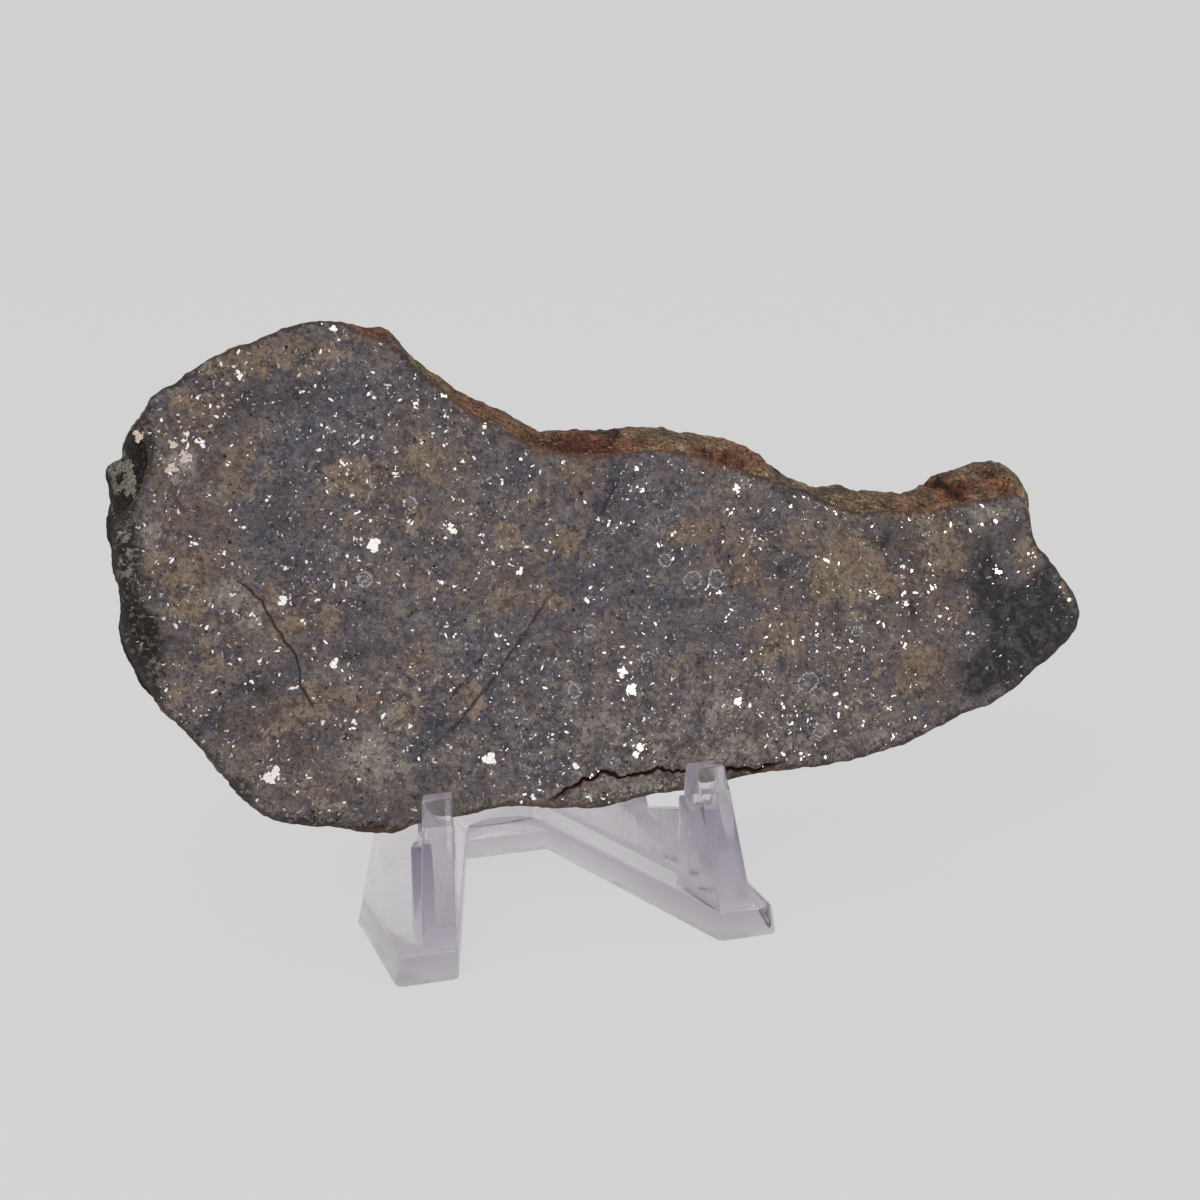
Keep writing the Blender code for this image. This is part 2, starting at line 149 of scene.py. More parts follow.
# Patches of colour on the cut faces: across, up, half width, half height, strength
ZONES = {
    "tan": [
        (-30, 52, 6, 2, 0.7), (-22, 52, 3.5, 1.8, 0.4), (-37, 47.5, 3, 1.6, 0.7),
        (-33, 41.5, 1.8, 1.6, 0.8), (-33, 38.5, 2, 1.2, 0.6), (-12.3, 40.3, 1.2, 1.6, 0.9),
        (-21.5, 38.5, 3.5, 2, 0.6), (-22.5, 33.5, 1.2, 1, 0.6), (-12.5, 38, 3, 1.4, 0.4),
        (-8, 42.5, 1.5, 1.5, 0.4), (-14.5, 32.5, 1.6, 2.5, 0.5), (-15, 26.5, 1.3, 1, 0.7),
        (-3.8, 30.5, 2, 1.4, 0.7), (3, 29, 1.6, 1.8, 0.9), (4.5, 36.5, 2, 2.5, 0.6),
        (-1, 34, 1.5, 1, 0.4), (-5, 23.5, 1.8, 1.5, 0.5), (0.5, 23, 1.8, 1.2, 0.5),
        (-24.3, 23.3, 1.1, 1.6, 0.9), (-16, 17.5, 1.2, 1.8, 0.9), (-21, 14, 2, 1, 0.8),
        (-17, 12.5, 2, 2, 0.6), (-10, 12.5, 1.8, 1.5, 0.6), (-26, 14.5, 3, 1.5, 0.7),
        (-41, 30, 3, 2, 0.6), (-39.5, 26, 2.5, 2, 0.6), (-36, 31, 2, 1.2, 0.4),
        (-43, 20, 1.5, 1.2, 0.5), (-37.5, 20, 2.5, 1.3, 0.5), (-42, 17, 2, 1.5, 0.4),
        (-32, 12, 3, 1.5, 0.5), (-31, 25.7, 1.5, 1, 0.7), (-29, 23, 2, 1, 0.6), (-27, 5, 4, 2, 0.4),
        (17.5, 28.8, 2, 1.4, 0.9), (22.5, 28, 3, 2.5, 0.6), (23.5, 24, 2.5, 2, 0.7),
        (30.5, 27, 1.8, 1.3, 0.7), (37, 25, 2.5, 2, 0.9), (34, 23, 4, 3, 0.6), (38, 22, 4, 2, 0.5),
        (32.5, 21, 1.5, 1.5, 0.5), (27.5, 17.5, 4, 2.5, 0.6), (25, 15, 2.5, 1.2, 0.5),
        (36.5, 17.5, 1.3, 1, 0.7), (42.5, 20.5, 1.5, 1, 0.4), (47, 26, 3.2, 3.8, 0.45),
        (50, 24, 2, 2, 0.4), (49, 17, 2.5, 2, 0.5), (44, 11.5, 2.5, 2, 0.9), (42.5, 9, 1.5, 1.5, 0.8),
        (38.5, 11.8, 1.3, 1, 0.6), (33, 11.5, 1.3, 0.8, 0.4), (58.8, 22.8, 1.6, 2.2, 0.9),
        (36, 29.5, 3, 1.2, 0.6), (43, 29.5, 5, 1, 0.5), (12, 23, 1.8, 1.2, 0.3), (17, 14, 5, 2, 0.25),
        (35, 7, 2, 2, 0.4), (63.4, 18.8, 1, 2.6, 0.6),
    ],
    "pale": [
        (-21.5, 7.5, 2.2, 2.5, 0.9), (-17, 6.5, 2, 1.2, 0.4), (-18, 13, 2, 3, 0.4),
        (-33, 24, 1.5, 1.5, 0.7), (-35, 27, 2, 1.5, 0.5), (-42.5, 34.5, 1.6, 1.2, 0.9),
        (-36.5, 23, 1.5, 1.5, 0.6), (19.5, 9.2, 2, 1.5, 0.6), (29.8, 11, 1.1, 1, 0.6),
        (23.5, 33.7, 1, 0.8, 0.5), (20, 4, 3, 1.2, 0.5), (26, 4, 3, 1.5, 0.3),
        (53.5, 28, 3.4, 1.3, 0.9), (-39.3, 41.3, 1.6, 1.3, 0.6), (-10, 31.5, 2, 1.2, 0.4),
        (-26, 3.5, 2, 1, 0.5), (40, 3.5, 2, 1, 0.4), (10, 1.2, 12, 1, 0.8), (8, 7, 12, 5, 0.3),
        (-8, 17, 8, 7, 0.15), (30, 6, 8, 4, 0.25),
    ],
    "dark": [
        (-31, 46.5, 3.8, 2, 0.45), (-34, 44.8, 1.8, 1, 0.3), (-24, 48, 5, 2, 0.4),
        (-29, 34, 5, 3, 0.35), (-21.5, 24, 2.2, 1.4, 0.4), (-22, 19.5, 4, 1.2, 0.45),
        (-33, 17, 3, 1.8, 0.5), (-37.5, 13.5, 3, 1.6, 0.5), (-29, 9.5, 2.5, 1.5, 0.3),
        (-33, 4.5, 4, 1, 0.4), (-44.8, 24.5, 1.5, 3.5, 0.95), (-43, 22, 3, 1.2, 0.6),
        (-46, 30, 1.1, 6, 0.7), (-21, 0.8, 2, 0.8, 0.6), (-23, 2.5, 1.5, 1, 0.4),
        (28.5, 24, 2.8, 1.6, 0.55), (26.8, 28, 1.3, 3.5, 0.35), (17.5, 25.8, 2.5, 0.7, 0.3),
        (30, 20.5, 1.5, 1, 0.4), (33.5, 17, 2, 2.5, 0.45), (41, 27, 2, 2, 0.6), (43.5, 17, 1.5, 2, 0.6),
        (50, 20.5, 3, 1, 0.5), (53.5, 22, 2, 3.5, 0.8), (56.5, 17, 4.5, 3.2, 0.95),
        (60, 13, 4, 2.5, 0.95), (55, 10, 5, 2.5, 0.9), (50.5, 9, 2.5, 2, 0.7), (57.5, 26, 1.5, 2, 0.5),
        (61.5, 20, 1.5, 2.5, 0.5), (6, 15.5, 2, 1, 0.3), (9, 18, 3, 1.2, 0.3), (20, 18, 3, 1.5, 0.3),
        (30, 32, 2.5, 1, 0.4), (-38, 49, 1, 0.6, 0.3), (62.5, 16, 2, 2.6, 0.6),
        (61.5, 21.5, 1.6, 2, 0.5), (51, 27.5, 1.2, 2.2, 0.5), (44, 24.5, 1.2, 2.5, 0.4),
    ],
    "cool": [
        (-22, 47, 8, 4, 0.8), (-26, 42, 5, 4, 0.6), (-29, 33, 6, 4, 0.7), (-10, 20, 7, 4, 0.6),
        (10, 25, 8, 8, 0.6), (-3, 12, 7, 5, 0.4), (20, 18, 7, 4, 0.5), (-4, 39, 3, 2, 0.5),
        (57, 15, 6, 5, 0.8), (14, 34, 5, 3, 0.5),
    ],
    "brown": [
        (-38, 38, 5, 6, 0.6), (-32, 12, 6, 4, 0.8), (-38, 22, 6, 4, 0.5), (-40, 30, 5, 5, 0.6),
        (-27, 24, 4, 5, 0.5), (48, 22, 8, 6, 0.6), (36, 22, 8, 5, 0.6), (22, 26, 4, 4, 0.6),
        (-29, 51, 8, 3, 0.5), (-18, 36, 7, 5, 0.5), (-3, 25, 7, 6, 0.5), (5, 36, 3, 3, 0.6),
        (47, 25.5, 4, 5, 0.9), (44, 10, 5, 4, 0.7), (-12, 40, 5, 3, 0.4), (-36, 46, 5, 4, 0.5),
        (-25, 4, 8, 3, 0.4),
    ],
    "pebbles": [(10, 0.9, 11, 1.3, 1), (22, 1, 6, 0.9, 0.8)],
    # On the rough side: burnt crust, its grey-green patch, and the rust
    "crust": [
        (-44.8, 40.6, 3.5, 4.7, 1), (-46.4, 33, 2.6, 6, 0.95), (-46.2, 25, 2.4, 6, 0.85),
        (-44.8, 23, 2.2, 2.6, 0.7), (-43, 19, 1.8, 1.8, 0.45), (-42.8, 44, 1.6, 1.6, 0.7),
        (-44.5, 19, 2.2, 3, 0.6), (-41, 13, 2.2, 3, 0.5), (-36, 5.5, 2.6, 2, 0.6),
        (-30, 2, 4, 1.1, 0.75), (-22.5, -0.1, 4, 1, 0.8),
    ],
    "lichen": [
        (-44.4, 40.4, 1.1, 1.7, 1), (-44.9, 42.8, 0.7, 0.8, 0.8), (-45.9, 37.2, 0.7, 1.3, 0.85),
        (-45.6, 33, 1, 1.5, 0.6), (-44.6, 29.5, 1.5, 1.5, 0.6), (-43, 33.5, 1.5, 1.2, 0.7),
    ],
    "rust": [
        (5, 40, 9, 3, 0.9), (-6, 45, 8, 3, 0.6), (22, 37, 7, 2.4, 0.8), (-17, 54, 3, 2, 0.7),
        (51.5, 31.5, 2.6, 2, 1), (57, 31.5, 3, 2, 0.8), (46, 30, 3, 1.5, 0.6), (-4, 0, 5, 1, 1),
        (-21, -0.5, 3, 1, 0.6), (1, 1.7, 3, 0.8, 0.7), (9, 2.6, 4, 0.7, 0.6), (17, 2, 4, 0.7, 0.6),
        (25, 1.7, 3, 0.6, 0.6),
    ],
    # painted shade: dark marks where crevices cut the rough side
    "cleft_shade": [
        (11.2, 41.2, 0.45, 2, 1), (50.8, 32.8, 0.7, 1.8, 0.8), (29.4, 35.2, 0.8, 1, 0.7),
    ],
}

# Large metal grains: across, up, radius, how long for its width, tone (0 white, 1 pink)
GRAINS = [
    (-21.1, 54.5, 0.42, 1.4, 0), (-31.6, 50, 0.45, 1.2, 0), (-36.6, 43.1, 0.4, 1.5, 0.2),
    (-37.9, 44.2, 0.34, 2, 0.3), (-39.5, 43.1, 0.45, 1.4, 0.9), (-42.7, 44.1, 0.55, 1.4, 1),
    (-39.9, 40.8, 0.6, 1.2, 1), (-38.2, 41.8, 0.62, 1.9, 1), (-21.4, 39.6, 0.36, 1.5, 0),
    (-16, 38.2, 0.34, 2.4, 0.2), (-12.8, 45.6, 0.36, 1.4, 0), (-9.8, 46.4, 0.34, 1.5, 0),
    (-5.5, 42.7, 0.36, 1.5, 0), (-19.3, 30.8, 0.72, 1.3, 0), (-10.3, 31.7, 0.5, 1.3, 0),
    (-3.1, 26.4, 0.42, 1.1, 0), (-29.5, 25.5, 0.5, 1.2, 0.1), (-38.3, 32.4, 0.34, 1.2, 0),
    (-35.3, 31.1, 0.28, 1.5, 0), (-37.8, 23.6, 0.27, 1.5, 0), (-24.6, 18.4, 0.42, 1.2, 0),
    (-32.6, 19.4, 0.28, 1.2, 0), (-33.7, 17.3, 0.28, 1.2, 0), (-29, 16.1, 0.28, 1.6, 0.5),
    (-26.5, 12.1, 0.32, 1.4, 0.6), (-32.4, 7.1, 0.78, 1.4, 0.2), (-17.1, 10.7, 0.35, 1.3, 0),
    (-8.6, 6, 0.62, 1.1, 0), (1.1, 4.5, 0.4, 1.5, 0.2), (7.7, 14.1, 0.5, 1.3, 0),
    (8.6, 12.3, 0.62, 1.1, 0), (4.4, 22.4, 0.36, 1.3, 0), (3, 3.2, 0.34, 1.3, 0),
    (-4.2, 1.5, 0.28, 1.3, 0), (8.8, 5.2, 0.62, 1.2, 0), (21.1, 9.5, 0.42, 1.2, 0),
    (23.2, 33.4, 0.4, 1.5, 0.5), (42.9, 18.6, 0.32, 1.3, 0), (55.1, 21.3, 0.4, 1.3, 0),
    (55.4, 27.1, 0.3, 1.3, 0), (46.4, 20, 0.32, 1.3, 0), (42.2, 13.7, 0.27, 1.2, 0),
    (26.5, 8.4, 0.28, 1.2, 0), (27.1, 6.2, 0.28, 1.3, 0), (39.6, 3.4, 0.28, 1.5, 0),
    (25.9, 2.9, 0.32, 1.4, 0), (4, 0.4, 0.26, 1.2, 0), (33.5, 24.4, 0.3, 1.5, 0.1),
    (0.4, 8.3, 0.34, 1.2, 0), (-12, 26, 0.3, 1.4, 0), (12.2, 34.2, 0.32, 1.3, 0),
]
CHONDRULES = [  # across, up, radius
    (14, 26.1, 0.75), (17.1, 23.6, 1), (19.9, 23.6, 1.05), (29.7, 10.8, 1.15), (25.2, 11.8, 0.6),
    (30.6, 5.1, 0.75), (4.4, 19.1, 0.7), (10.6, 15.5, 0.6), (-14.5, 34.8, 0.7), (36.4, 16, 0.65),
    (1.8, 12.6, 0.7), (-20.4, 27, 0.8),
]
PATCH_WAVE, PATCH_SWAY = 2.6, 1.7  # noise that makes the patches' edges uneven
CHONDRULE_SWAY = 0.15
PATCH_FALL = 0.9

# Scattered flakes
SMALL_GRAINS = 1120
FLECKS = 3800
BACK_GRAINS = 900
SMALL_TONES = (0.0, 0.15, 0.4, 0.8)
SMALL_TONE_SHARES = (0.4, 0.22, 0.22, 0.16)
THICKETS = ((7.0, 0.6), (2.2, 0.8))  # noise that thickens and thins them
FLAKE_TOP = 0.9  # a flake's flat top for its rim
PROUD = 0.022  # how far the top stands out of the cut face
SUNK = 0.03  # and how deep the rim goes

# The easel's mesh
EASEL_ROUND = 0.25
WELD = 1e-6  # metres
FLAT_TURN = math.radians(1.0)
EDGE_TURN = math.radians(35)
SMOOTH_TURN = math.radians(48)

# Colours from 0 to 255, by name
COLOURS = {
    # The cut face's ground and patches
    "slate": (71, 66, 70), "warm_grey": (91, 81, 77), "umber": (82, 67, 59),
    "blue_grey": (72, 71, 79), "sand": (106, 91, 76), "tan": (95, 79, 68),
    "pale": (117, 109, 102), "black": (24, 21, 22), "dark_grey": (58, 55, 59),
    "chondrule": (84, 85, 90),
    # What lies on it
    "drag": (52, 53, 60), "burnt": (18, 16, 15), "ash": (78, 71, 62),
    "lichen": (98, 95, 84), "rust": (86, 58, 43), "shock": (38, 35, 40),
    "pebble_gap": (46, 36, 31), "sulphide": (138, 131, 130), "speck": (33, 29, 30),
    # first on the next line: painted shade standing in for small holes
    "pit_shade": (14, 12, 12), "stain": (70, 42, 30), "seam": (44, 30, 25),
    # the crack colour on the next line is painted shade inside the crack
    "crack_rim": (66, 43, 33), "crack": (30, 20, 16), "darker_rim": (46, 38, 34),
    "darker_rim_rust": (84, 52, 36),
    # The natural side
    "side_brown": (80, 64, 52), "side_tan": (118, 101, 80), "side_rust": (112, 74, 54),
    "dark_rust": (70, 40, 31), "joint": (44, 30, 24), "ochre": (146, 118, 84),
    # first on the next line: painted shade for the side's crevices
    "cleft_shade": (30, 21, 18), "char": (15, 13, 12), "char_light": (48, 42, 37),
    "moss": (106, 103, 93),
    # The dull flecks
    "fleck_dark": (36, 32, 33), "fleck_grey": (104, 97, 96), "fleck_light": (154, 147, 145),
}
SPOTS = (  # on the cut face: spacing, unevenness, edge and middle, colour
    # the second row is painted shade standing in for small holes
    (1.2, 0.35, 0.31, 0.23, "black"), (3.7, 0.12, 0.125, 0.1, "pit_shade"),
    (5.2, 0.25, 0.2, 0.15, "stain"),
)
BRIGHT_METAL = (0.99, 0.93, 0.90, 1.0)
PINK_METAL = (0.60, 0.50, 0.44, 1.0)
STREAK_TURN = math.radians(49.0)  # the shock line's way across the face
STREAK_SCALE = (0.3, 2.6, 1.0)

# The clear plastic: painted shade in its base colour by distance behind the easel's front,
# darker at the front of the base, and the heights between which the base's give way to the uprights'
LEG_DEPTHS = (8.0, 26.0)
LEG_SHADE_TINTS = ((0.62, 0.60, 0.60, 1.0), (0.82, 0.805, 0.80, 1.0))
UPRIGHT_DEPTHS = (5.5, 7.0)
UPRIGHT_SHADE_TINTS = ((0.86, 0.845, 0.84, 1.0), (0.99, 0.98, 0.975, 1.0))
BASE_ENDS = (3.4, 3.8)
FLOW_SCALE = (0.9, 0.5, 0.11)  # long marks up the plates
ABSORBED = (0.74, 0.69, 0.775, 1.0)
ABSORPTION = 120.0

# The studio, in metres
FLOOR_HALF = 30.0
FLOOR_GREY = (0.05, 0.05, 0.05, 1.0)
FLOOR_GLOW = 0.598
SKY = (  # height from 0, level, to 1, overhead; brightness there
    (0.0, 0.75), (0.18, 1.1), (0.42, 1.1), (0.55, 0.5), (0.7, 0.45), (0.85, 1.0), (1.0, 0.8),
)
SKY_STRENGTH = 0.85
LIGHTS = (  # name, place, size, power
    ("key", (-0.55, -0.75, 0.85), 0.7, 9.0),
    ("fill", (0.7, -0.9, 0.45), 0.6, 2.5),
)
LIT_PLACE = Vector((0.0, 0.0, 0.03))

# The camera, found from the easel's edges: place in mm, then yaw, pitch and roll
CAMERA_AT = (-74.55, -230.56, 108.20)
CAMERA_TURNS = (18.207, 15.515, 0.471)
LENS = 72.0
SENSOR = 36.0


def place(points):
    """Slice coordinates in mm to world metres."""
    across, up, depth = points.T
    y = NOTCH_Y + up * math.sin(LEAN) + depth * math.cos(LEAN)
    z = NOTCH_Z + up * math.cos(LEAN) - depth * math.sin(LEAN)
    return (np.stack([across, y, z], axis=-1) + ORIGIN) * MM


def on_face(places):
    """Places on the cut front as points with no depth."""
    return np.column_stack([places, np.zeros(len(places))])


def loop(points):
    """The points, with the first one again at the end."""
    return np.vstack([points, points[:1]])


def fractal(points, layers, seed):
    """A sum of smooth noise at several sizes, one value for each point in mm."""
    total = np.zeros(len(points))
    for size, height in layers:
        shift = Vector((seed + size, 3.7 * size - seed, 1.3 * seed))
        total += height * np.array([noise.noise(Vector(p) / size + shift) for p in points])
    return total


def closed_curve(rows, count):
    """A closed smooth curve through the rows, at count places evenly spaced along it."""
    rows = np.array(rows, float)
    nxt, before, after = np.roll(rows, -1, 0), np.roll(rows, 1, 0), np.roll(rows, -2, 0)
    fine = []
    for t in np.linspace(0.0, 1.0, 24, endpoint=False):
        fine.append(
            (2 * t**3 - 3 * t**2 + 1) * rows
            + (t**3 - 2 * t**2 + t) * (nxt - before) / 2
            + (3 * t**2 - 2 * t**3) * nxt
            + (t**3 - t**2) * (after - rows) / 2
        )
    curve = np.stack(fine, axis=1).reshape(-1, rows.shape[1])
    step = np.linalg.norm(np.roll(curve, -1, 0)[:, :2] - curve[:, :2], axis=1)
    along = np.concatenate([[0.0], np.cumsum(step)])
    closed = loop(curve)
    places = np.linspace(0.0, along[-1], count, endpoint=False)
    return np.stack([np.interp(places, along, closed[:, k]) for k in range(rows.shape[1])], 1)


def sideways(run):
    """Unit directions at right angles to the given ones."""
    run = run / np.linalg.norm(run, axis=1)[:, None]
    return np.stack([-run[:, 1], run[:, 0]], axis=1)


def wall_offset(share, fullest, back):
    """How far the side stands outside the outline at a share of the thickness."""
    if share <= FULLEST:
        return fullest * math.sin(0.5 * math.pi * share / FULLEST) ** FRONT_CURVE
    rest = (share - FULLEST) / (1.0 - FULLEST)
    return fullest + (back - fullest) * rest**BACK_CURVE


def inside(points, polygon):
    """Which points lie inside a closed polygon."""
    result = np.zeros(len(points), bool)
    x, y = points[:, 0], points[:, 1]
    for a, b in zip(polygon, np.roll(polygon, -1, axis=0)):
        crosses = (a[1] > y) != (b[1] > y)
        at = a[0] + (y - a[1]) * (b[0] - a[0]) / (b[1] - a[1] + 1e-12)
        result ^= crosses & (x < at)
    return result


def distance_to_line(points, line):
    """Distance of each point from an open line, and how far along it the nearest place is."""
    best = np.full(len(points), 1e9)
    where = np.zeros(len(points))
    done = 0.0
    for a, b in zip(line[:-1], line[1:]):
        run = b - a
        length = np.linalg.norm(run)
        t = np.clip(((points - a) @ run) / length**2, 0.0, 1.0)
        gap = np.linalg.norm(points - a - t[:, None] * run, axis=1)
        nearer = gap < best
        best[nearer] = gap[nearer]
        where[nearer] = done + t[nearer] * length
        done += length
    return best, where / done


def wavering(line, sway, seed, spacing=0.22):
    """The line resampled, with small irregular turns."""
    line = np.array(line, float)
    length = np.concatenate([[0.0], np.cumsum(np.linalg.norm(np.diff(line, axis=0), axis=1))])
    places = np.arange(0.0, length[-1], spacing)
    fine = np.stack([np.interp(places, length, line[:, k]) for k in (0, 1)], axis=1)
    turns = fractal(on_face(fine), ((1.6, sway), (0.5, sway / 2)), seed)
    return fine + sideways(np.gradient(fine, axis=0)) * turns[:, None]


def face_points(outline, grid, grooves, rng):
    """Points inside the outline: a jittered grid, and close rows along each groove."""
    low, high = outline.min(0), outline.max(0)
    xs = np.arange(low[0], high[0], grid)
    ys = np.arange(low[1], high[1], grid * GRID_ROWS)
    mesh = np.stack(np.meshgrid(xs, ys), axis=-1)
    mesh[1::2, :, 0] += grid / 2
    jitter = rng.uniform(-GRID_JITTER, GRID_JITTER, (mesh.size // 2, 2))
    points = mesh.reshape(-1, 2) + jitter * grid
    rows = []
    for line, half, _, _ in grooves:
        gap, _ = distance_to_line(points, line)
        past_rows = half * 2.2 + 0.12
        points = points[gap > past_rows]
        normal = sideways(np.gradient(line, axis=0))
        rows += [line + normal * offset * half for offset in GROOVE_ROWS]
    points = np.vstack([points] + rows)
    keep = inside(points, outline)
    gap, _ = distance_to_line(points, loop(outline))
    points = points[keep & (gap > grid * EDGE_CLEAR)]
    cells = np.round(points / SAME_PLACE).astype(int)
    _, first = np.unique(cells, axis=0, return_index=True)
    return points[np.sort(first)]


def triangulate(outline, points):
    """Triangles inside the outline, as (points, faces). The outline's own points come first."""
    count = len(outline)
    every = [Vector(p) for p in np.vstack([outline, points])]
    edges = [(i, (i + 1) % count) for i in range(count)]
    inside_only, tolerance = 1, 1e-6
    found, _, faces, _, _, _ = delaunay_2d_cdt(every, edges, [], inside_only, tolerance)
    return np.array([tuple(p) for p in found]), [list(f) for f in faces]


def patches(points, rows, seed, sway=PATCH_SWAY):
    """How strongly each point lies in any of the rows' soft, uneven patches, 0 to 1."""
    shift = Vector((seed, 0.0, 0.0))
    moved = np.array([
        [noise.noise(Vector(p) / PATCH_WAVE + shift), noise.noise(Vector(p) / PATCH_WAVE - shift)]
        for p in points
    ])
    u = points[:, 0] + sway * moved[:, 0]
    w = points[:, 1] + sway * moved[:, 1]
    clear = np.ones(len(points))
    for across, up, wide, high, strength in rows:
        far = ((u - across) / wide) ** 2 + ((w - up) / high) ** 2
        clear *= 1.0 - strength * np.exp(-PATCH_FALL * far)
    return 1.0 - clear


def smears(points):
    """How dark the drags beside the shock line are at each point, 0 to 1."""
    uneven = 1.0 + fractal(points, SMEAR_UNEVEN, 41.0)
    clear = np.ones(len(points))
    for start, end, half, strength in SMEARS:
        gap, _ = distance_to_line(points[:, :2], np.array([start, end]))
        clear *= 1.0 - strength * np.exp(-(gap / (half * uneven)) ** 2)
    return 1.0 - clear


def natural_side(curve):
    """Rings of points from the cut front's edge to the back's, and the relief at each."""
    base, fullest, back = curve[:, :2], curve[:, 2], curve[:, 3]
    normal = sideways(np.roll(base, -3, axis=0) - np.roll(base, 3, axis=0))
    base = base + normal * fractal(on_face(base), EDGE_JITTER, 2.0)[:, None]
    rings, relief = [], []
    for share in np.linspace(0.0, 1.0, RINGS) ** RING_CROWDING:
        offset = np.array([wall_offset(share, f, b) for f, b in zip(fullest, back)])
        ring = base + normal * offset[:, None]
        solid = np.column_stack([ring, np.full(len(ring), share * THICKNESS)])
        rough = fractal(solid, SIDE_RELIEF, 7.0)
        fade = min(1.0, share / RELIEF_STARTS) * min(1.0, (1.0 - share) / RELIEF_ENDS)
        solid[:, :2] += normal * (rough * fade)[:, None]
        solid[:, 0] = np.clip(solid[:, 0], *REACH)
        solid[:, 1] = np.minimum(solid[:, 1], TOP)
        rings.append(solid)
        relief.append(rough)
    return rings, relief


def side_faces():
    """The four-sided faces between neighbouring rings."""
    faces = []
    for k in range(RINGS - 1):
        a, b = k * OUTLINE_STEPS, (k + 1) * OUTLINE_STEPS
        for i in range(OUTLINE_STEPS):
            j = (i + 1) % OUTLINE_STEPS
            faces.append([a + i, a + j, b + j, b + i])
    return faces


def grooved(inner, grooves):
    """How deep the grooves are at each point, and how strongly each kind marks it."""
    deep = np.zeros(len(inner))
    shown = {name: np.zeros(len(inner)) for name in MARKS}
    uneven = np.clip(1.0 + fractal(on_face(inner), GROOVE_UNEVEN, 3.0), *GROOVE_WIDTHS)
    for line, half, most, name in grooves:
        gap, along = distance_to_line(inner, line)
        ends = np.clip(np.minimum(along, 1.0 - along) * GROOVE_TAPER, 0.0, 1.0)
        shape = np.clip(GROOVE_SHOULDER - gap / (half * uneven), 0.0, 1.0) * ends
        if name == "shock":
            shape *= 1.0 - FADE_DEPTH * np.exp(-((along - FADE_AT) / FADE_SPAN) ** 2)
        deep = np.maximum(deep, shape * most)
        shown[name] = np.maximum(shown[name], shape)
    return deep, shown


def build_slice():
    """The slice as one closed body: cut front, rough natural side, cut back."""
    rng = np.random.default_rng(5)
    rings, relief = natural_side(closed_curve(OUTLINE, OUTLINE_STEPS))
    total = RINGS * OUTLINE_STEPS
    points = list(rings)
    faces = side_faces()
    on_side = [1.0] * len(faces)
    marks = {name: [np.zeros(total)] for name in MARKS}
    # the relief is also kept for the side's painted shade in its hollows
    marks["relief"] = relief
    grooves = [
        (wavering(line, sway, k), half, deep, name)
        for k, (line, half, deep, sway, name) in enumerate(LINES)
    ]
    for k, depth, grid, cut_in in (
        (0, 0.0, FACE_GRID, grooves), (RINGS - 1, THICKNESS, BACK_GRID, []),
    ):
        edge = rings[k][:, :2]
        found, made = triangulate(edge, face_points(edge, grid, cut_in, rng))
        inner = found[OUTLINE_STEPS:]
        deep, shown = grooved(inner, cut_in)
        shown["border"] = np.minimum(distance_to_line(inner, loop(edge))[0], BORDER_REACH)
        points.append(np.column_stack([inner, depth + deep]))
        for name, values in marks.items():
            values.append(shown[name])
        for face in made:
            faces.append([
                k * OUTLINE_STEPS + i if i < OUTLINE_STEPS else total + i - OUTLINE_STEPS
                for i in face
            ])
        on_side += [0.0] * len(made)
        total += len(inner)
    marks = {name: np.concatenate(values) for name, values in marks.items()}
    return slice_mesh(np.vstack(points), faces, on_side, marks)


def slice_mesh(points, faces, on_side, marks):
    """The slice's object, with the attributes that its material reads."""
    mesh = new_mesh("slice_body", points, faces)
    bm = bmesh.new()
    bm.from_mesh(mesh)
    bmesh.ops.recalc_face_normals(bm, faces=bm.faces)
    bm.to_mesh(mesh)
    bm.free()
    store(mesh, "side", "FACE", on_side)
    for name, values in marks.items():
        store(mesh, name, "POINT", values)
    for k, (name, rows) in enumerate(ZONES.items()):
        store(mesh, name, "POINT", patches(points, rows, 11.0 + 5.0 * k))
    store(mesh, "smear", "POINT", smears(points))
    discs = [(u, w, 1.1 * r, 1.1 * r, 1.0) for u, w, r in CHONDRULES]
    store(mesh, "chondrule", "POINT", patches(points, discs, 0.0, CHONDRULE_SWAY))
    store_places(mesh, points)
    return link("slice_body", mesh, smooth=True)


def new_mesh(name, points, faces):
    """A mesh from points in slice coordinates."""
    mesh = bpy.data.meshes.new(name)
    mesh.from_pydata(place(points).tolist(), [], faces)
    return mesh


def store(mesh, name, domain, values):
    """Keeps a number for each point or face, for the materials."""
    layer = mesh.attributes.new(name, "FLOAT", domain)
    layer.data.foreach_set("value", np.asarray(values, np.float32))


def store_places(mesh, points):
    """Keeps the points' slice coordinates, for the materials."""
    slab = mesh.attributes.new("slab", "FLOAT_VECTOR", "POINT")
    slab.data.foreach_set("vector", points.astype(np.float32).ravel())


def link(name, mesh, smooth=False):
    """A new object in the scene, smooth over all but its sharp edges if asked."""
    obj = bpy.data.objects.new(name, mesh)
    bpy.context.collection.objects.link(obj)
    if smooth:
        mesh.shade_smooth()
        mesh.set_sharp_from_angle(angle=SMOOTH_TURN)
    return obj


def flake(centre, radius, stretch, sides, rng):
    """One uneven flat grain's edge, as points on the cut face."""
    turn = rng.uniform(0.0, math.tau)
    angle = np.linspace(0.0, math.tau, sides, endpoint=False)
    angle = angle + rng.uniform(-0.3, 0.3, sides) * math.tau / sides
    reach = radius * rng.uniform(0.55, 1.2, sides)
    edge = np.stack([np.cos(angle) * reach * math.sqrt(stretch),
                     np.sin(angle) * reach / math.sqrt(stretch)], axis=1)
    spin = np.array([[math.cos(turn), math.sin(turn)], [-math.sin(turn), math.cos(turn)]])
    return np.asarray(centre) + edge @ spin


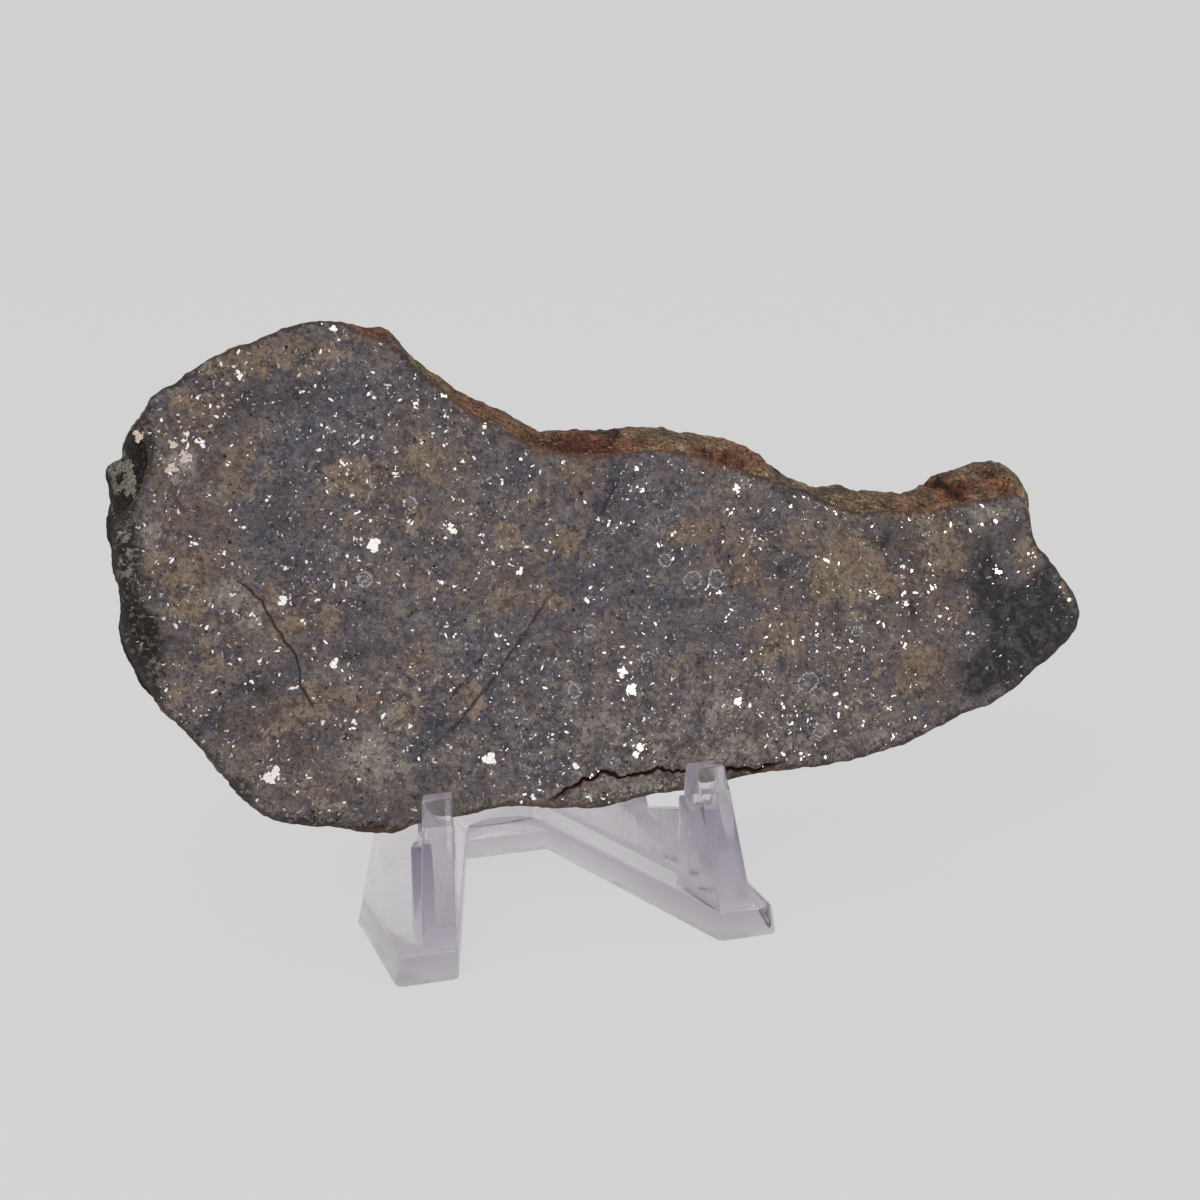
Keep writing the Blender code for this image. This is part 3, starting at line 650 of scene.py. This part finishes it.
def flakes(name, grains, front, rng):
    """Flat grains set into a cut face: each (edge points, tone) gets a rim that sinks in."""
    level, inward = (0.0, 1.0) if front else (THICKNESS, -1.0)
    points, faces, tones = [], [], []
    for edge, tone in grains:
        start, count = len(tones), len(edge)
        middle = edge.mean(axis=0)
        tilt = rng.uniform(-0.5, 0.5, 2) * PROUD / max(0.1, np.ptp(edge[:, 0]))
        top = middle + (edge - middle) * FLAKE_TOP
        rise = PROUD + (top - middle) @ tilt
        points.append(np.column_stack([edge, np.full(count, level + inward * SUNK)]))
        points.append(np.column_stack([top, level - inward * rise]))
        tones += [tone] * (2 * count)
        for i in range(count):
            j = (i + 1) % count
            faces.append([start + i, start + j, start + count + j, start + count + i])
        faces.append([start + count + i for i in range(count)])
    points = np.vstack(points)
    if not front:
        faces = [f[::-1] for f in faces]
    mesh = new_mesh(name, points, faces)
    store(mesh, "tone", "POINT", tones)
    store_places(mesh, points)
    return link(name, mesh)


def scatter(count, outline, rng, margin=0.5, shy=1.15):
    """Seeded places inside the outline, thinned out in the dark patches."""
    low, high = outline.min(0), outline.max(0)
    places = rng.uniform(low, high, (count * 3, 2))
    keep = inside(places, outline)
    keep[keep] = distance_to_line(places[keep], loop(outline))[0] > margin
    places = places[keep]
    for crack in (BOTTOM_CRACK, BROWN_CRACK):
        gap, _ = distance_to_line(places, np.array(crack))
        places = places[gap > CRACK_CLEAR]
    solid = on_face(places)
    rare = patches(solid, ZONES["dark"], 21.0)
    thick = 0.5 + fractal(solid, THICKETS, 31.0)
    chance = np.clip(1.0 - shy * rare, 0.03, 1.0) * np.clip(0.1 + 1.1 * thick, 0.06, 1.0)
    return places[rng.uniform(size=len(places)) < chance][:count]


def large_grain(row, outline, rng):
    """A large metal grain as a few overlapping flakes, with crumbs of metal round it."""
    across, up, radius, stretch, tone = row
    middle = np.array([across, up])
    made = []
    lobes = 3 if radius < 0.4 else 6
    for k in range(lobes):
        reach = radius * (0.95 if k else 0.2)
        at = middle + rng.uniform(-reach, reach, 2)
        size = radius * rng.uniform(0.4, 0.85)
        made.append((flake(at, size, stretch, 9, rng), tone))
    for _ in range(int(radius * 11)):
        at = middle + rng.normal(0.0, 1.1 * radius + 0.45, 2)
        if inside(at[None], outline)[0]:
            size = rng.uniform(0.07, 0.17)
            made.append((flake(at, size, rng.uniform(1.0, 2.6), 6, rng), tone * 0.5))
    return made


def small_grains(outline, rng):
    """The scattered metal grains, some with a smaller one beside them."""
    made = []
    for at in scatter(SMALL_GRAINS, outline, rng):
        radius = 0.07 + 0.22 * rng.uniform() ** 2.6
        tone = rng.choice(SMALL_TONES, p=SMALL_TONE_SHARES)
        made.append((flake(at, radius, rng.uniform(1.0, 2.8), 6, rng), tone))
        if rng.uniform() < 0.3:
            near = at + rng.uniform(-1.6, 1.6, 2) * radius
            made.append((flake(near, radius * 0.7, 1.5, 6, rng), tone))
    return made


def chondrule(across, up, radius, rng):
    """A chondrule's broken, bent outline of dull flecks, and a few flecks within it."""
    made = []
    steps = int(radius * 26)
    bend = rng.uniform(0.82, 1.12, 7)
    bend_at = np.linspace(0, math.tau, len(bend) + 1)
    for k in range(steps):
        angle = math.tau * (k + rng.uniform(-0.3, 0.3)) / steps
        if rng.uniform() < 0.16:
            continue
        bent = np.interp(angle % math.tau, bend_at, np.append(bend, bend[0]))
        reach = radius * bent * rng.uniform(0.9, 1.06)
        at = (across + reach * math.cos(angle), up + reach * math.sin(angle))
        made.append((flake(at, rng.uniform(0.11, 0.19), 1.3, 6, rng), 0.8))
    for _ in range(int(radius * 5)):
        at = np.array([across, up]) + rng.normal(0.0, 0.3 * radius, 2)
        made.append((flake(at, 0.09, 1.6, 6, rng), 0.5))
    return made


def build_grains(outline):
    """Metal grains, dull flecks and chondrule outlines on the front, and metal on the back."""
    rng = np.random.default_rng(17)
    bright = []
    for row in GRAINS:
        bright += large_grain(row, outline, rng)
    bright += small_grains(outline, rng)
    metal = flakes("metal_grains_front", bright, True, rng)

    dull = []
    for at in scatter(FLECKS, outline, rng, shy=0.55):
        radius = 0.07 + 0.15 * rng.uniform() ** 2
        dull.append((flake(at, radius, rng.uniform(1.3, 4.5), 6, rng), rng.uniform()))
    for across, up, radius in CHONDRULES:
        dull += chondrule(across, up, radius, rng)
    grey = flakes("dull_flecks_front", dull, True, rng)

    rear = []
    for at in scatter(BACK_GRAINS, outline * 0.97 + outline.mean(0) * 0.03, rng, 2.6):
        radius = 0.09 + 0.42 * rng.uniform() ** 5
        rear.append((flake(at, radius, rng.uniform(1.0, 2.0), 7, rng), 0.2 * rng.uniform()))
    behind = flakes("metal_grains_back", rear, False, rng)
    return metal, grey, behind


def build_easel(node):
    """The easel with its moulded edges rounded off a little."""
    mesh = node.data.copy()
    mesh.name = "easel"
    mesh.transform(node.matrix_world)
    bm = bmesh.new()
    bm.from_mesh(mesh)
    bmesh.ops.remove_doubles(bm, verts=bm.verts, dist=WELD)
    bmesh.ops.dissolve_limit(bm, angle_limit=FLAT_TURN, verts=bm.verts, edges=bm.edges)
    sharp = [e for e in bm.edges if e.is_manifold and e.calc_face_angle(0.0) > EDGE_TURN]
    bmesh.ops.bevel(bm, geom=sharp, offset=EASEL_ROUND * MM, segments=3, profile=0.5,
                    affect="EDGES", clamp_overlap=True)
    bm.to_mesh(mesh)
    bm.free()
    return link("easel", mesh, smooth=True)


def linear(red, green, blue):
    """A colour of 0 to 255 as a linear one for a shader's socket."""
    return (*(((c / 255 + 0.055) / 1.055) ** 2.4 for c in (red, green, blue)), 1.0)


class Graph:
    """Short forms for laying out the nodes of a material or a world."""

    def __init__(self, owner):
        owner.use_nodes = True
        self.owner = owner
        self.tree = owner.node_tree

    def feed(self, socket, value):
        """A node's output, a plain value or a named colour into a socket."""
        if isinstance(value, bpy.types.NodeSocket):
            self.tree.links.new(value, socket)
        elif isinstance(value, str):
            socket.default_value = linear(*COLOURS[value])
        else:
            socket.default_value = value

    def put(self, kind, sockets, out=0, **settings):
        """A new node with its sockets fed, as one of its outputs."""
        node = self.tree.nodes.new("ShaderNode" + kind)
        for key, value in settings.items():
            setattr(node, key, value)
        for key, value in sockets.items():
            self.feed(node.inputs[key], value)
        return node.outputs[out]

    def attribute(self, name, out="Fac"):
        return self.put("Attribute", {}, out, attribute_name=name)

    def noise(self, vector, size, detail=3.0, roughness=0.55, bend=0.0, shift=0.0):
        """Smooth noise of a size, in the vector's own units."""
        moved = self.put("VectorMath", {0: vector, 1: (shift, 0.7 * shift, -shift)},
                         operation="ADD")
        return self.put("TexNoise", {
            "Vector": moved, "Scale": 1.0 / size, "Detail": detail, "Roughness": roughness,
            "Distortion": bend,
        })

    def cells(self, vector, size):
        """Distance from the middle of a cell."""
        return self.put("TexVoronoi", {"Vector": vector, "Scale": 1.0 / size})

    def cell_edges(self, vector, scale):
        """Distance from the edge of a cell."""
        return self.put("TexVoronoi", {"Vector": vector, "Scale": scale},
                        feature="DISTANCE_TO_EDGE")

    def math(self, operation, a, b=0.0):
        return self.put("Math", {0: a, 1: b}, operation=operation)

    def times(self, a, b):
        """The two values multiplied."""
        return self.math("MULTIPLY", a, b)

    def plus(self, a, b, share=1.0):
        """The first value with a share of the second added."""
        return self.math("ADD", a, b if share == 1.0 else self.times(b, share))

    def swing(self, value, size=1.0):
        """A noise moved to swing evenly round nought, times a size."""
        swung = self.math("SUBTRACT", value, 0.5)
        return swung if size == 1.0 else self.times(swung, size)

    def ramp(self, value, low, high, start=0.0, end=1.0):
        """A smooth step from start to end as the value goes from low to high."""
        return self.put("MapRange", {
            "Value": value, "From Min": low, "From Max": high, "To Min": start, "To Max": end,
        }, interpolation_type="SMOOTHSTEP")

    def mix(self, share, a, b):
        """A colour between two, by the share of the second."""
        node = self.tree.nodes.new("ShaderNodeMix")
        node.data_type = "RGBA"
        factor, first, second, result = 0, 6, 7, 2
        for socket, value in ((factor, share), (first, a), (second, b)):
            self.feed(node.inputs[socket], value)
        return node.outputs[result]

    def over(self, under, mask, colour, amount=1.0):
        """A colour laid over another, by the mask times the amount."""
        return self.mix(mask if amount == 1.0 else self.times(mask, amount), under, colour)

    def shade(self, colour, value):
        """The colour made lighter or darker by a plain factor."""
        return self.put("VectorMath", {0: colour, "Scale": value}, operation="SCALE")

    def bump(self, height, strength, distance):
        return self.put("Bump", {"Height": height, "Strength": strength, "Distance": distance})

    def finish(self, sockets, shader="Principled BSDF"):
        """Its material or world, with the shader's sockets fed."""
        for key, value in sockets.items():
            self.feed(self.tree.nodes[shader].inputs[key], value)
        return self.owner


def material_graph(name):
    """The graph of a new material."""
    return Graph(bpy.data.materials.new(name))


class StoneGraph(Graph):
    """The stone's graph, with the noises that its cut faces and its side share."""

    def __init__(self):
        super().__init__(bpy.data.materials.new("chondrite"))
        self.at = self.attribute("slab", "Vector")
        self.broad = self.noise(self.at, 7.0, shift=3.0)
        self.middle = self.noise(self.at, 2.0, 5.0, 0.62, shift=9.0)
        self.fine = self.noise(self.at, 0.62, 4.0, 0.62, 0.6, shift=1.0)
        self.mottle = self.noise(self.at, 1.5, 3.0, 0.6, 0.8, shift=21.0)
        self.rock = self.noise(self.at, 1.4, 5.0, 0.65, 0.4, shift=13.0)
        self.grit = self.noise(self.at, 0.35, 3.0, 0.6, 0.3, shift=17.0)
        self.split = self.plus(self.swing(self.middle, 1.6), self.swing(self.fine, 0.9))

    def broken(self, name, low, high):
        """A patch attribute with its edge broken up by noise."""
        return self.ramp(self.plus(self.attribute(name), self.split), low, high)


def cut_ground(g):
    """The cut face's greys and browns, with its patches of colour."""
    cool = g.attribute("cool")
    warm = g.math("SUBTRACT", g.plus(g.broad, g.split, 0.3), g.times(cool, 0.3))
    face = g.mix(g.ramp(warm, 0.2, 0.62), "slate", "warm_grey")
    face = g.over(face, g.broken("brown", 0.15, 0.6), "umber", 0.8)
    chill = g.plus(g.mottle, cool, 0.12)
    face = g.over(face, g.ramp(chill, 0.48, 0.66), "blue_grey", 0.75)
    tan = g.mix(g.ramp(g.broad, 0.42, 0.58), "sand", "tan")
    face = g.over(face, g.broken("tan", 0.2, 0.45), tan, 0.92)
    face = g.over(face, g.broken("pale", 0.1, 0.75), "pale", 0.85)
    deep = g.mix(g.ramp(g.mottle, 0.44, 0.62), "black", "dark_grey")
    face = g.over(face, g.broken("dark", 0.2, 0.6), deep, 0.92)
    disc = g.ramp(g.attribute("chondrule"), 0.35, 0.55, 0.0, 0.6)
    return g.over(face, disc, "chondrule")


def cut_stains(g, face):
    """Dark drags along the shock line, and the crust and rust that creep over the edge."""
    along_line = g.put("Mapping", {
        "Vector": g.at, "Rotation": (0.0, 0.0, -STREAK_TURN), "Scale": STREAK_SCALE,
    })
    streak = g.noise(along_line, 1.0, shift=2.0)
    drag = g.plus(g.attribute("smear"), g.swing(streak))
    face = g.over(face, g.ramp(drag, 0.3, 0.75), "drag", 0.85)
    burnt = g.mix(g.ramp(g.fine, 0.52, 0.62), "burnt", "ash")
    face = g.over(face, g.broken("crust", 0.42, 0.58), burnt, 0.9)
    green = g.plus(g.attribute("lichen"), g.split, 1.2)
    face = g.over(face, g.ramp(green, 0.5, 0.6), "lichen", 0.8)
    return g.over(face, g.broken("rust", 0.5, 0.9), "rust", 0.75)


def cut_grain(g, face):
    """Fine grain, the shock lines, the pebbly sliver and thin pale worms of sulphide."""
    micro = g.noise(g.at, 0.24, 3.0, 0.6, 0.4, shift=5.0)
    grain = g.times(g.ramp(g.fine, 0.34, 0.66, 0.58, 1.3),
                   g.ramp(micro, 0.32, 0.68, 0.82, 1.14))
    face = g.shade(face, grain)
    shock = g.times(g.ramp(g.attribute("shock"), 0.1, 0.75),
                   g.ramp(g.middle, 0.34, 0.46, 0.35, 0.95))
    face = g.over(face, shock, "shock")
    gaps = g.ramp(g.cell_edges(g.at, 1.1), 0.15, 0.03)
    face = g.over(face, g.times(gaps, g.attribute("pebbles")), "pebble_gap", 0.9)
    worms = g.math("ABSOLUTE", g.swing(g.noise(g.at, 0.42, 2.0, 0.5, 1.2, shift=7.0)))
    worms = g.times(g.ramp(worms, 0.04, 0.012), g.ramp(g.middle, 0.46, 0.56))
    worms = g.times(worms, g.ramp(g.attribute("dark"), 0.2, 0.7, 0.42, 0.12))
    return g.over(face, worms, "sulphide")


def cut_spots(g, face):
    """Dark specks, black spots, painted shade standing in for small holes, and a few rust stains."""
    specks = g.plus(g.cells(g.at, 0.62), g.middle, 0.55)
    face = g.over(face, g.ramp(specks, 0.49, 0.4, 0.0, 0.75), "speck")
    for size, uneven, edge, middle, colour in SPOTS:
        spots = g.plus(g.cells(g.at, size), g.fine, uneven)
        face = g.over(face, g.ramp(spots, edge, middle), colour)
    return face


def cut_seam_crack_rim(g, face):
    """The seam, the crack with painted shade inside it, and the rim that darkens towards the outline.
    """
    crack = g.attribute("crack")
    face = g.over(face, g.attribute("seam"), "seam")
    face = g.over(face, g.ramp(crack, 0.0, 0.4), "crack_rim")
    # painted shade inside the crack's groove, on top of its real depth
    face = g.over(face, g.ramp(crack, 0.5, 1.2), "crack")
    # darker towards the outline, browner where the rust patches are
    border = g.plus(g.attribute("border"), g.swing(g.fine, 2.4))
    rim_tone = g.mix(g.attribute("rust"), "darker_rim", "darker_rim_rust")
    return g.over(face, g.ramp(border, 0.12, 0.7, 1.0, 0.0), rim_tone, 0.8)


def side_ground(g):
    """The natural side's browns, its rust, and its dark joints."""
    rust = g.attribute("rust")
    side = g.mix(g.ramp(g.rock, 0.35, 0.62), "side_brown", "side_tan")
    side = g.over(side, g.ramp(g.plus(rust, g.split, 0.7), 0.25, 0.75), "side_rust", 0.85)
    side = g.over(side, g.ramp(g.plus(rust, g.rock, 1.2), 1.15, 1.45), "dark_rust")
    swirl = g.put("TexNoise", {"Vector": g.at, "Scale": 0.9, "Detail": 3.0}, "Color")
    bent = g.put("VectorMath", {0: g.at, 1: g.shade(swirl, 1.6)}, operation="ADD")
    joints = g.ramp(g.cell_edges(bent, 0.62), 0.1, 0.015)
    joints = g.times(joints, g.ramp(g.rock, 0.4, 0.55))
    side = g.over(side, joints, "joint", 0.75)
    ochre = g.times(g.ramp(g.grit, 0.55, 0.68), g.ramp(g.rock, 0.5, 0.6))
    return g.over(side, ochre, "ochre", 0.7)


def side_weathering(g, side):
    """Painted shade in the side's hollows and painted light on its bumps, by relief; darker and lighter
    grit; painted shade in the crevices; the burnt crust and its grey-green patch.
    """
    # painted shade and light: darker where the relief sinks in, lighter where it stands out
    side = g.shade(side, g.ramp(g.attribute("relief"), -0.35, 0.3, 0.45, 1.25))
    side = g.shade(side, g.ramp(g.grit, 0.34, 0.66, 0.45, 1.45))
    # painted shade in the side's crevices, where the mesh has none
    side = g.over(side, g.ramp(g.attribute("cleft_shade"), 0.3, 0.6), "cleft_shade")
    ragged = g.swing(g.rock, 1.1)
    charred = g.plus(g.attribute("crust"), ragged, 1.7)
    char = g.mix(g.ramp(g.grit, 0.45, 0.65), "char", "char_light")
    side = g.over(side, g.ramp(charred, 0.34, 0.54), char)
    green = g.plus(g.attribute("lichen"), g.plus(g.swing(g.fine, 1.8), ragged, 1.5))
    moss = g.shade(linear(*COLOURS["moss"])[:3], g.ramp(g.grit, 0.34, 0.66, 0.4, 1.3))
    return g.over(side, g.ramp(green, 0.52, 0.62), moss)


def stone_material():
    """The cut faces and the natural side, told apart by the mesh's side attribute."""
    g = StoneGraph()
    face = cut_stains(g, cut_ground(g))
    face = cut_seam_crack_rim(g, cut_spots(g, cut_grain(g, face)))
    side = side_weathering(g, side_ground(g))
    on_side = g.attribute("side")
    height = g.plus(g.times(g.fine, g.ramp(on_side, 0.0, 1.0, 0.3, 1.0)),
                    g.times(g.grit, on_side))
    return g.finish({
        "Base Color": g.mix(on_side, face, side),
        "Roughness": g.ramp(on_side, 0.0, 1.0, 0.5, 0.85),
        "Specular IOR Level": 0.15,
        "Normal": g.bump(height, 0.6, 0.00025),
    })


def metal_material():
    """Nickel-iron, from white to pink by the grain's tone."""
    g = material_graph("nickel_iron")
    colour = g.mix(g.attribute("tone"), BRIGHT_METAL, PINK_METAL)
    uneven = g.ramp(g.noise(g.attribute("slab", "Vector"), 0.25), 0.35, 0.7, 0.75, 1.05)
    return g.finish({
        "Base Color": g.shade(colour, uneven), "Metallic": 1.0, "Roughness": 0.35,
    })


def fleck_material():
    """Dull sulphide, grey to light by the fleck's tone, with the lowest tones dark."""
    g = material_graph("dull_sulphide")
    tone = g.attribute("tone")
    colour = g.mix(tone, "fleck_grey", "fleck_light")
    colour = g.mix(g.ramp(tone, 0.24, 0.32), "fleck_dark", colour)
    uneven = g.ramp(g.noise(g.attribute("slab", "Vector"), 0.3), 0.3, 0.7, 0.8, 1.15)
    return g.finish({
        "Base Color": g.shade(colour, uneven), "Roughness": 0.45, "Specular IOR Level": 0.4,
    })


def plastic_material():
    """Clear moulding with a faint lilac cast, painted shade in its base colour, flow marks up its
    plates and light smudges.
    """
    g = material_graph("clear_plastic")
    metres = g.put("TexCoord", {}, "Object")
    at = g.put("Mapping", {"Vector": metres, "Scale": (1 / MM, 1 / MM, 1 / MM)})
    flow = g.put("Mapping", {"Vector": at, "Scale": FLOW_SCALE})
    streaks = g.noise(flow, 1.0, 3.0, 0.5, 0.3)
    smudges = g.noise(at, 6.0, 4.0, 0.6, shift=4.0)
    depth = g.put("SeparateXYZ", {0: at}, "Y")
    height = g.put("SeparateXYZ", {0: at}, "Z")
    behind = g.math("SUBTRACT", depth, float(ORIGIN[1]))
    # painted shade: the base darker towards its front, the uprights lighter
    leg_shade = g.mix(g.ramp(behind, *LEG_DEPTHS), *LEG_SHADE_TINTS)
    upright_shade = g.mix(g.ramp(behind, *UPRIGHT_DEPTHS), *UPRIGHT_SHADE_TINTS)
    absorb = g.put("VolumeAbsorption", {"Color": ABSORBED, "Density": ABSORPTION})
    g.feed(g.tree.nodes["Material Output"].inputs["Volume"], absorb)
    return g.finish({
        "Base Color": g.mix(g.ramp(height, *BASE_ENDS), leg_shade, upright_shade),
        "Transmission Weight": 0.95,
        "IOR": 1.49,
        "Roughness": g.ramp(smudges, 0.4, 0.65, 0.05, 0.14),
        "Normal": g.bump(streaks, 0.12, 0.0004),
    })


def build_floor():
    """A wide pale floor that glows as bright as the photograph's background."""
    corners = [(-1, -1, 0), (1, -1, 0), (1, 1, 0), (-1, 1, 0)]
    mesh = bpy.data.meshes.new("floor")
    mesh.from_pydata([Vector(c) * FLOOR_HALF for c in corners], [], [(0, 1, 2, 3)])
    mesh.materials.append(material_graph("pale_floor").finish({
        "Base Color": FLOOR_GREY, "Roughness": 1.0, "Specular IOR Level": 0.0,
        "Emission Color": (1.0, 1.0, 1.0, 1.0), "Emission Strength": FLOOR_GLOW,
    }))
    link("floor", mesh)


def sky():
    """Surroundings in soft bands, from level to overhead."""
    g = Graph(bpy.data.worlds.new("studio"))
    where = g.put("TexCoord", {}, "Generated")
    bands = g.put("ValToRGB", {0: g.put("SeparateXYZ", {0: where}, "Z")})
    elements = bands.node.color_ramp.elements
    for element, (position, level) in zip(elements, (SKY[0], SKY[-1])):
        element.position = position
        element.color = (level, level, level, 1)
    for position, level in SKY[1:-1]:
        elements.new(position).color = (level, level, level, 1)
    bpy.context.scene.world = g.finish({"Color": bands, "Strength": SKY_STRENGTH}, "Background")


def lamps():
    """Round soft lamps, aimed at the stone."""
    for name, at, size, power in LIGHTS:
        data = bpy.data.lights.new(name, "AREA")
        data.shape = "DISK"
        data.size = size
        data.energy = power
        lamp = bpy.data.objects.new(name, data)
        lamp.location = at
        aim = LIT_PLACE - Vector(at)
        lamp.rotation_euler = aim.to_track_quat("-Z", "Y").to_euler()
        bpy.context.collection.objects.link(lamp)


def camera():
    """The camera, at the photograph's own angle."""
    data = bpy.data.cameras.new("camera")
    data.lens = LENS
    data.sensor_width = SENSOR
    obj = bpy.data.objects.new("camera", data)
    bpy.context.collection.objects.link(obj)
    yaw, pitch, roll = (math.radians(turn) for turn in CAMERA_TURNS)
    level = math.cos(pitch)
    ahead = Vector((math.sin(yaw) * level, math.cos(yaw) * level, -math.sin(pitch)))
    right = Vector((math.cos(yaw), -math.sin(yaw), 0.0))
    above = right.cross(ahead)
    turned = right * math.cos(roll) - above * math.sin(roll)
    above = right * math.sin(roll) + above * math.cos(roll)
    spot = (Vector(CAMERA_AT) + Vector(ORIGIN)) * MM
    axes = Matrix((turned, above, -ahead)).transposed().to_4x4()
    obj.matrix_world = Matrix.Translation(spot) @ axes
    bpy.context.scene.camera = obj


bpy.context.scene.view_settings.view_transform = "Standard"

stone = build_slice()
stone.data.materials.append(stone_material())
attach(stone, "root")
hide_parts("meteorite_slice")

cut_edge = closed_curve(OUTLINE, GRAIN_OUTLINE_STEPS)[:, :2]
metal_front, flecks, metal_back = build_grains(cut_edge)
metal = metal_material()
for piece, material in ((metal_front, metal), (metal_back, metal), (flecks, fleck_material())):
    piece.data.materials.append(material)
    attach(piece, "root")

easel = build_easel(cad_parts["display_stand"])
easel.data.materials.clear()
easel.data.materials.append(plastic_material())
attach(easel, "root")
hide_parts("display_stand")

build_floor()
sky()
lamps()
camera()
